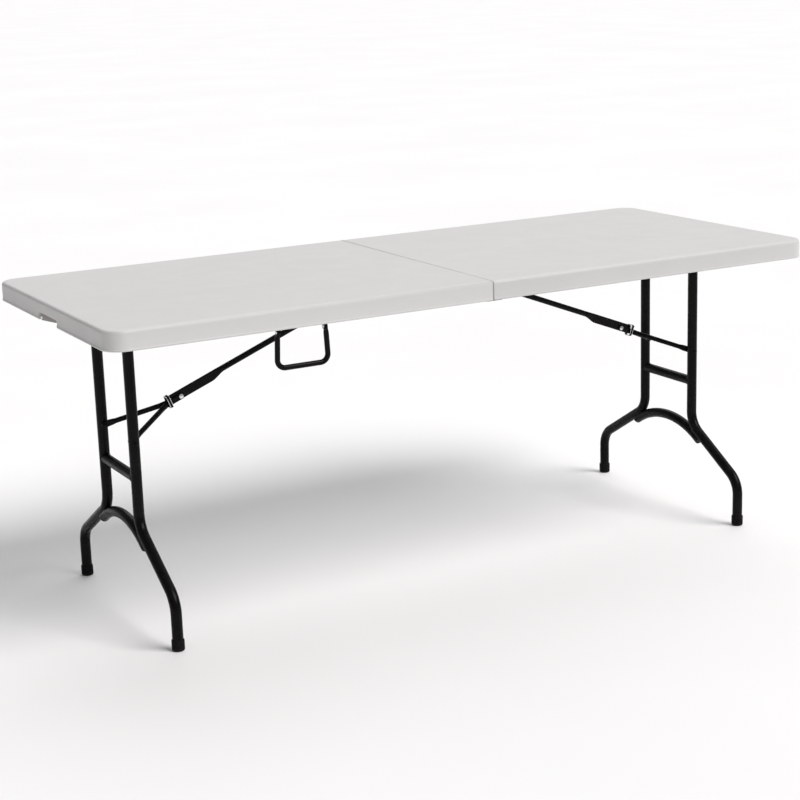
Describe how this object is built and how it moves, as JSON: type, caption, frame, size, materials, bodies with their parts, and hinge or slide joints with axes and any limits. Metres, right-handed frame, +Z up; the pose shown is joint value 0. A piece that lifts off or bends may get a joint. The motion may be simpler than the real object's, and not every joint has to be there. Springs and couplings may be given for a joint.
{
  "type": "folding picnic table",
  "caption": "Long table with a moulded top that folds at mid length, and two wishbone leg frames that fold flat under it on jointed braces.",
  "frame": {"origin": "on the floor under the centre of the open table", "axes": "+X along the table towards the half without the handle, -Y towards the side with the handle, +Z up"},
  "size_m": [1.8324, 0.7524, 0.74],
  "materials": {
    "moulded_top": "blow-moulded, finely pebbled light grey",
    "black_frame": "glossy black powder coat on steel",
    "bright_hardware": "bright zinc plate",
    "lock_collar": "black coat worn to bright metal at the rim",
    "foot_cap": "black moulded cap"
  },
  "bodies": {
    "left_top": {"left_panel": "moulded_top", "left_rail_front": "black_frame", "left_rail_back": "black_frame", "left_screws": "bright_hardware", "left_hinge_leaf_front": "black_frame", "left_hinge_leaf_back": "black_frame", "left_hinge_rivets": "bright_hardware", "left_brace_bracket": "black_frame", "left_brace_pin": "bright_hardware", "hinge_pins": "bright_hardware", "handle_brackets": "black_frame", "handle_pins": "bright_hardware", "latch_screw": "bright_hardware"},
    "right_top": {"right_panel": "moulded_top", "right_rail_front": "black_frame", "right_rail_back": "black_frame", "right_screws": "bright_hardware", "right_hinge_leaf_front": "black_frame", "right_hinge_leaf_back": "black_frame", "right_hinge_rivets": "bright_hardware", "right_brace_bracket": "black_frame", "right_brace_pin": "bright_hardware"},
    "left_leg": {"left_leg_front": "black_frame", "left_leg_back": "black_frame", "left_axle": "black_frame", "left_axle_pins": "bright_hardware", "left_crossbar": "black_frame", "left_arch": "black_frame", "left_foot_front": "foot_cap", "left_foot_back": "foot_cap", "left_yoke_rivets": "black_frame"},
    "left_bar": {"left_bar": "black_frame", "left_knee_rivet": "bright_hardware"},
    "left_yoke": {"left_yoke_front": "black_frame", "left_yoke_back": "black_frame"},
    "left_ring": {"left_lock_ring": "lock_collar"},
    "right_leg": {"right_leg_front": "black_frame", "right_leg_back": "black_frame", "right_axle": "black_frame", "right_axle_pins": "bright_hardware", "right_crossbar": "black_frame", "right_arch": "black_frame", "right_foot_front": "foot_cap", "right_foot_back": "foot_cap", "right_yoke_rivets": "black_frame"},
    "right_bar": {"right_bar": "black_frame", "right_knee_rivet": "bright_hardware"},
    "right_yoke": {"right_yoke_front": "black_frame", "right_yoke_back": "black_frame"},
    "right_ring": {"right_lock_ring": "lock_collar"},
    "handle": {"handle": "black_frame"},
    "latch": {"latch": "moulded_top"}
  },
  "joints": [
    {"name": "centre_fold", "type": "hinge", "parent": "left_top", "child": "right_top", "pos_m": [0, 0, 0.692], "axis": [0, 1, 0], "range_deg": [0, 90]},
    {"name": "left_leg_fold", "type": "hinge", "parent": "left_top", "child": "left_leg", "pos_m": [-0.775, 0, 0.7055], "axis": [0, -1, 0], "range_deg": [0, 90]},
    {"name": "left_bar_hinge", "type": "hinge", "parent": "left_top", "child": "left_bar", "pos_m": [-0.035, 0, 0.7265], "axis": [0, 1, 0], "range_deg": [0, 21.39]},
    {"name": "left_knee", "type": "hinge", "parent": "left_bar", "child": "left_yoke", "pos_m": [-0.61838, 0, 0.48999], "axis": [0, -1, 0], "range_deg": [0, 174.72]},
    {"name": "left_ring_slide", "type": "slide", "parent": "left_bar", "child": "left_ring", "axis": [0.9311, 0, 0.3646], "range_m": [0, 0.2545]},
    {"name": "right_leg_fold", "type": "hinge", "parent": "right_top", "child": "right_leg", "pos_m": [0.775, 0, 0.7055], "axis": [0, 1, 0], "range_deg": [0, 90]},
    {"name": "right_bar_hinge", "type": "hinge", "parent": "right_top", "child": "right_bar", "pos_m": [0.035, 0, 0.7265], "axis": [0, -1, 0], "range_deg": [0, 21.39]},
    {"name": "right_knee", "type": "hinge", "parent": "right_bar", "child": "right_yoke", "pos_m": [0.61838, 0, 0.48999], "axis": [0, 1, 0], "range_deg": [0, 174.72]},
    {"name": "right_ring_slide", "type": "slide", "parent": "right_bar", "child": "right_ring", "axis": [-0.9311, 0, 0.3646], "range_m": [0, 0.2545]},
    {"name": "handle_swing", "type": "hinge", "parent": "left_top", "child": "handle", "pos_m": [-0.473, -0.357, 0.6885], "axis": [1, 0, 0], "range_deg": [-90, 90]},
    {"name": "latch_swing", "type": "hinge", "parent": "left_top", "child": "latch", "pos_m": [-0.9095, 0.053, 0.703], "axis": [1, 0, 0], "range_deg": [0, 90]}
  ],
  "couplings": [
    {"joint": "left_bar_hinge", "follows": "left_leg_fold", "ratio": 0.23768},
    {"joint": "left_knee", "follows": "left_leg_fold", "ratio": 1.9413},
    {"joint": "left_ring_slide", "follows": "left_leg_fold", "m_per_rad": 0.16202},
    {"joint": "right_bar_hinge", "follows": "right_leg_fold", "ratio": 0.23768},
    {"joint": "right_knee", "follows": "right_leg_fold", "ratio": 1.9413},
    {"joint": "right_ring_slide", "follows": "right_leg_fold", "m_per_rad": 0.16202}
  ]
}
